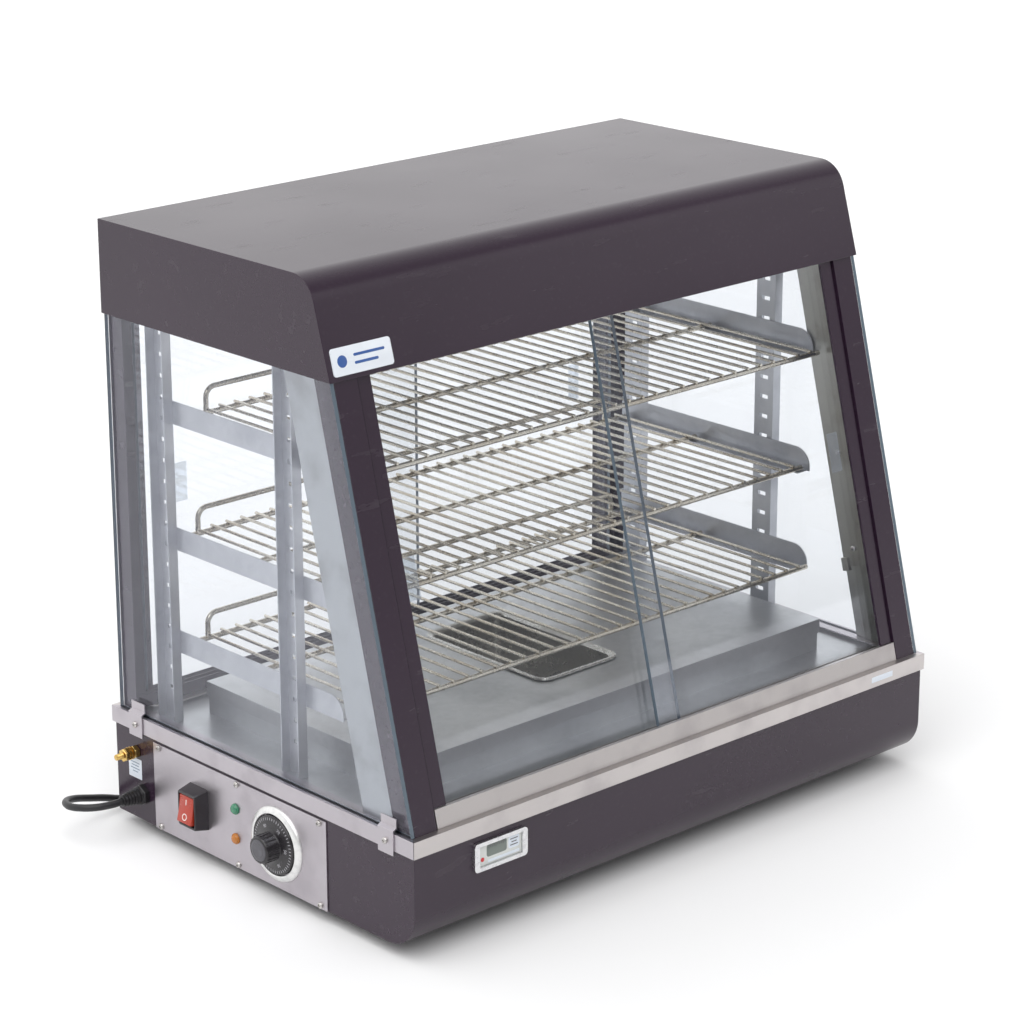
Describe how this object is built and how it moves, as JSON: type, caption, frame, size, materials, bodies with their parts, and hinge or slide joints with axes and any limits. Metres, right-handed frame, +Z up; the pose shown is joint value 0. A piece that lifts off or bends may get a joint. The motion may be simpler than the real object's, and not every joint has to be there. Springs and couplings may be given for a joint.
{
  "type": "hot food display case",
  "caption": "Heated counter-top food display case with leaning glass front, sliding glass doors, wire shelves, water pan and a dark canopy.",
  "frame": {"origin": "on the table, under the middle of the steel belt that runs round the case", "axes": "+X to the right seen from the front, +Y to the back, +Z up"},
  "size_m": [0.729, 0.547, 0.584],
  "materials": {
    "painted_steel": "satin dark plum-brown enamel",
    "belt_steel": "brushed",
    "sheet_steel": "plain rolled, lightly worn",
    "rack_steel": "pressed, plain",
    "shelf_wire": "bright, slightly warm",
    "galvanised_steel": "zinc coated",
    "pan_steel": "polished inside",
    "foot_rubber": "matt",
    "lamp_ceramic": "glazed",
    "bulb_glass": "clear",
    "pane_glass": "clear tempered",
    "screw_steel": "bright",
    "pull_plastic": "translucent",
    "switch_black": "fine grain",
    "rocker_red": "translucent red",
    "lens_green": "clear tinted",
    "lens_amber": "clear tinted",
    "ring_chrome": "satin",
    "knob_black": "satin with pale markings",
    "meter_chrome": "chrome plated",
    "terminal_brass": "turned",
    "gland_black": "satin",
    "cord_jacket": "matt"
  },
  "bodies": {
    "case": {"base_shell": "painted_steel", "base_plate": "galvanised_steel", "rubber_feet": "foot_rubber", "belt_front": "belt_steel", "belt_left": "belt_steel", "belt_right": "belt_steel", "belt_rear": "belt_steel", "floor_pan": "sheet_steel", "heater_lid": "sheet_steel", "front_post_left": "painted_steel", "front_post_right": "painted_steel", "rear_post_left": "painted_steel", "rear_post_right": "painted_steel", "jamb_left": "belt_steel", "jamb_right": "belt_steel", "sill_rail": "belt_steel", "rear_track": "painted_steel", "upright_front_left": "rack_steel", "upright_front_right": "rack_steel", "upright_rear_left": "rack_steel", "upright_rear_right": "rack_steel", "bracket_bottom_left": "rack_steel", "bracket_bottom_right": "rack_steel", "bracket_middle_left": "rack_steel", "bracket_middle_right": "rack_steel", "bracket_top_left": "rack_steel", "bracket_top_right": "rack_steel", "canopy_shell": "painted_steel", "canopy_liner": "sheet_steel", "lamp_holder": "lamp_ceramic", "lamp_bulb": "bulb_glass", "side_glass_left": "pane_glass", "side_glass_right": "pane_glass", "glass_clips": "belt_steel", "small_screws": "screw_steel", "control_panel": "belt_steel", "switch_body": "switch_black", "lamp_green": "lens_green", "lamp_amber": "lens_amber", "thermostat_ring": "ring_chrome", "thermometer": "meter_chrome", "bonding_terminal": "terminal_brass", "cord_gland": "gland_black", "cord": "cord_jacket", "cord_coil": "cord_jacket", "plug": "cord_jacket"},
    "front_door_left": {"front_door_left": "pane_glass", "front_pull_left": "pull_plastic"},
    "front_door_right": {"front_door_right": "pane_glass", "front_pull_right": "pull_plastic"},
    "rear_door_left": {"rear_door_left": "pane_glass", "rear_pull_left": "pull_plastic"},
    "rear_door_right": {"rear_door_right": "pane_glass", "rear_pull_right": "pull_plastic"},
    "rocker": {"switch_rocker": "rocker_red"},
    "knob": {"thermostat_knob": "knob_black"},
    "pan": {"water_pan": "pan_steel"},
    "shelf_bottom": {"shelf_bottom": "shelf_wire"},
    "shelf_middle": {"shelf_middle": "shelf_wire"},
    "shelf_top": {"shelf_top": "shelf_wire"}
  },
  "joints": [
    {"name": "front_door_left_slide", "type": "slide", "parent": "case", "child": "front_door_left", "axis": [1, 0, 0], "range_m": [0, 0.278]},
    {"name": "front_door_right_slide", "type": "slide", "parent": "case", "child": "front_door_right", "axis": [-1, 0, 0], "range_m": [0, 0.278]},
    {"name": "rear_door_left_slide", "type": "slide", "parent": "case", "child": "rear_door_left", "axis": [1, 0, 0], "range_m": [0, 0.255]},
    {"name": "rear_door_right_slide", "type": "slide", "parent": "case", "child": "rear_door_right", "axis": [-1, 0, 0], "range_m": [0, 0.255]},
    {"name": "rocker_tilt", "type": "hinge", "parent": "case", "child": "rocker", "pos_m": [-0.3407, 0.085, 0.05475], "axis": [0, -1, 0], "range_deg": [0, 20]},
    {"name": "knob_turn", "type": "hinge", "parent": "case", "child": "knob", "pos_m": [-0.3287, -0.0285, 0.05475], "axis": [1, 0, 0], "range_deg": [0, 270]},
    {"name": "pan_lift", "type": "slide", "parent": "case", "child": "pan", "axis": [0, 0, 1], "range_m": [0, 0.03]},
    {"name": "shelf_bottom_lift", "type": "slide", "parent": "case", "child": "shelf_bottom", "axis": [0, 0, 1], "range_m": [0, 0.02]},
    {"name": "shelf_middle_lift", "type": "slide", "parent": "case", "child": "shelf_middle", "axis": [0, 0, 1], "range_m": [0, 0.02]},
    {"name": "shelf_top_lift", "type": "slide", "parent": "case", "child": "shelf_top", "axis": [0, 0, 1], "range_m": [0, 0.02]}
  ]
}
